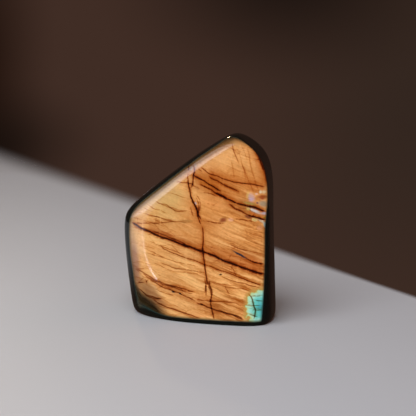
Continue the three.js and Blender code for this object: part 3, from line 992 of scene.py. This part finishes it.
def table_lacquer(colour, toward, end, blur, growth):
    """Matt white lacquer, sprayed on. In one direction it fades out about an end, over a width that
    grows to the left along that end."""
    material = bpy.data.materials.new("matt_table_lacquer")
    material.use_nodes = True
    tree = material.node_tree
    add = partial(add_node, tree)
    shader = tree.nodes["Principled BSDF"]
    shader.inputs["Base Color"].default_value = (*colour, 1)
    shader.inputs["Roughness"].default_value = 0.5
    place = add("TexCoord").outputs["Object"]
    leftward = (-toward[1], toward[0], 0)
    far = add("VectorMath", (place, (*toward, 0)), operation="DOT_PRODUCT")
    left = add("VectorMath", (place, leftward), operation="DOT_PRODUCT")
    left = add("Math", (left.outputs["Value"], 0.0), operation="MAXIMUM")
    width = add("Math", (left, growth, blur), operation="MULTIPLY_ADD")
    beyond = add("Math", (far.outputs["Value"], end), operation="SUBTRACT")
    beyond = add("Math", (beyond, width), operation="DIVIDE")
    gone = add(
        "MapRange", {"Value": beyond, "From Min": -0.5, "From Max": 0.5}, interpolation_type="SMOOTHSTEP",
    )
    clear = add("BsdfTransparent")
    mixed = add("MixShader", {0: gone, 1: shader, 2: clear})
    tree.links.new(mixed.outputs[0], tree.nodes["Material Output"].inputs["Surface"])
    return material


def soft_light(context, name, azimuth, elevation, distance, width, height, radiance, colour, lights_pieces):
    """A rectangular light that faces the stone. Its power is radiance times pi times its area. It either
    lights pieces and is never mirrored, or is only mirrored in the polish."""
    light = bpy.data.lights.new(name, "AREA")
    light.shape = "RECTANGLE"
    light.size = width
    light.size_y = height
    light.energy = radiance * math.pi * width * height
    light.color = colour
    lamp = bpy.data.objects.new(name, light)
    lamp.location = Vector((0, 0, HEART_HEIGHT * MM)) + direction(azimuth, elevation) * distance
    lamp.rotation_euler = direction(azimuth, elevation).to_track_quat("Z", "Y").to_euler()
    lamp.visible_camera = False
    lamp.visible_glossy = not lights_pieces
    lamp.visible_diffuse = lights_pieces
    context.collection.objects.link(lamp)
    return lamp


class LABRADORITE_OT_stage(bpy.types.Operator):
    """Make the table, the lights and the camera"""

    bl_idname = "labradorite.stage"
    bl_label = "Stage"

    def execute(self, context):
        settings = context.scene.labradorite_stage
        self.table(context, settings)
        self.lights(context, settings)
        self.backdrop(context)
        self.camera(context)
        return {"FINISHED"}

    def table(self, context, settings):
        """A pale table top, which reaches a little past its faded far edge."""
        edge = Vector((math.cos(TABLE_EDGE_TURN * DEGREE), math.sin(TABLE_EDGE_TURN * DEGREE), 0))
        side = Vector((edge.y, -edge.x, 0))
        near = edge * (TABLE_EDGE + TABLE_MARGIN)
        corners = [
            near + side * TABLE_SIZE, near + side * -TABLE_SIZE,
            near + side * -TABLE_SIZE - edge * TABLE_SIZE, near + side * TABLE_SIZE - edge * TABLE_SIZE,
        ]
        upper = [tuple(corner) for corner in corners]
        lower = [(x, y, -TABLE_THICKNESS) for x, y, _ in upper]
        faces = [(0, 1, 2, 3), (7, 6, 5, 4), (0, 4, 5, 1), (1, 5, 6, 2), (2, 6, 7, 3), (3, 7, 4, 0)]
        mesh = bpy.data.meshes.new("table")
        mesh.from_pydata(upper + lower, [], faces)
        lacquer = table_lacquer(settings.table, edge[:2], TABLE_EDGE, EDGE_BLUR, EDGE_BLUR_GROWTH)
        mesh.materials.append(lacquer)
        table = bpy.data.objects.new("table", mesh)
        context.collection.objects.link(table)
        # Flagged off from the polish, so that the face mirrors the dark room and keeps its colour.
        table.visible_glossy = False

        # The part of the table that the left rim mirrors. Only the polish sees it. Its lacquer fades out
        # toward the stone, a painted shade in the reflection that stands for the stone's contact shadow.
        gleam = bpy.data.meshes.new("table_gleam")
        gleam.from_pydata([(x * MM, y * MM, GLEAM_HEIGHT) for x, y in GLEAM], [], [tuple(range(len(GLEAM)))])
        gleam.materials.append(table_lacquer(settings.table, (1, 0), GLEAM_END, GLEAM_FADE, 0.0))
        sheet = bpy.data.objects.new("table_gleam", gleam)
        context.collection.objects.link(sheet)
        sheet.visible_camera = False
        sheet.visible_diffuse = False
        sheet.visible_shadow = False

    def lights(self, context, settings):
        """All lamps. The lit edge is a thin one that lies flat and faces up."""
        only = {pieces: self.only(pieces) for pieces in (STONE, TABLE)}
        for name, azimuth, elevation, distance, width, height, source, share, colour, lit in LIGHTS:
            radiance = getattr(settings, source) * share
            lamp = soft_light(
                context, name, azimuth, elevation, distance, width, height, radiance, linear(colour),
                bool(lit),
            )
            if lit:
                lamp.light_linking.receiver_collection = only[lit]
            if lit == STONE:
                lamp.data.cycles.max_bounces = 0
        first, last = (Vector((x, y, 1)) * MM for x, y in LIT_EDGE)
        along = last - first
        line = soft_light(
            context, "lit_edge", 0, 0, 1, along.length, LIT_EDGE_WIDTH, settings.lit_edge, linear(DAYLIGHT),
            False,
        )
        line.location = (first + last) / 2
        along.normalize()
        line.rotation_euler = (math.pi, 0, math.atan2(along.y, along.x))

    def backdrop(self, context):
        """A plain dark surround with soft shades far behind the stone."""
        world = bpy.data.worlds.new("studio")
        world.use_nodes = True
        tree = world.node_tree
        add = partial(add_node, tree)
        backdrop = (*linear(BACKDROP), 1)
        ray = add("TexCoord").outputs["Generated"]
        for azimuth, elevation, wide, high, colour, amount in BACKDROP_SHADES:
            toward = direction(azimuth, elevation)
            size = (wide * DEGREE, high * DEGREE)
            backdrop = soft_patch(add, backdrop, ray, (toward.x, toward.z), size, 0, colour, 0, amount)
        tree.links.new(backdrop.outputs[2], tree.nodes["Background"].inputs["Color"])
        context.scene.world = world
        context.scene.view_settings.view_transform = "Standard"

    def only(self, names):
        """A collection of some pieces, for a light that falls on them alone."""
        alone = bpy.data.collections.new(names[0] + "_only")
        for name in names:
            alone.objects.link(bpy.data.objects[name])
        return alone

    def camera(self, context):
        camera = bpy.data.cameras.new("camera")
        camera.sensor_width = SENSOR
        camera.lens = LENS
        body = bpy.data.objects.new("camera", camera)
        back = direction(-CAMERA_AZIMUTH, CAMERA_ELEVATION)
        body.location = AIM + back * CAMERA_DISTANCE
        body.rotation_euler = back.to_track_quat("Z", "Y").to_euler()
        context.collection.objects.link(body)
        context.scene.camera = body


class LABRADORITE_PT_panel(bpy.types.Panel):
    """Lists the stone and its stage"""

    bl_idname = "LABRADORITE_PT_panel"
    bl_label = "Labradorite"
    bl_space_type = "VIEW_3D"
    bl_region_type = "UI"
    bl_category = "Labradorite"

    def draw(self, context):
        for group, operator in (
            (context.scene.labradorite_form, None),
            (context.scene.labradorite_colours, "labradorite.stone"),
            (context.scene.labradorite_stage, "labradorite.stage"),
        ):
            for name in group.__annotations__:
                self.layout.prop(group, name)
            if operator:
                self.layout.operator(operator)


SETTINGS = {
    "labradorite_form": LABRADORITE_PG_form,
    "labradorite_colours": LABRADORITE_PG_colours,
    "labradorite_stage": LABRADORITE_PG_stage,
}
CLASSES = (*SETTINGS.values(), LABRADORITE_OT_stone, LABRADORITE_OT_stage, LABRADORITE_PT_panel)


def register():
    for each in CLASSES:
        bpy.utils.register_class(each)
    for name, group in SETTINGS.items():
        setattr(bpy.types.Scene, name, bpy.props.PointerProperty(type=group))


def unregister():
    for name in SETTINGS:
        delattr(bpy.types.Scene, name)
    for each in reversed(CLASSES):
        bpy.utils.unregister_class(each)


def main():
    register()
    bpy.ops.labradorite.stone()
    bpy.ops.labradorite.stage()
    bpy.context.view_layer.update()


if __name__ == "__main__":
    main()
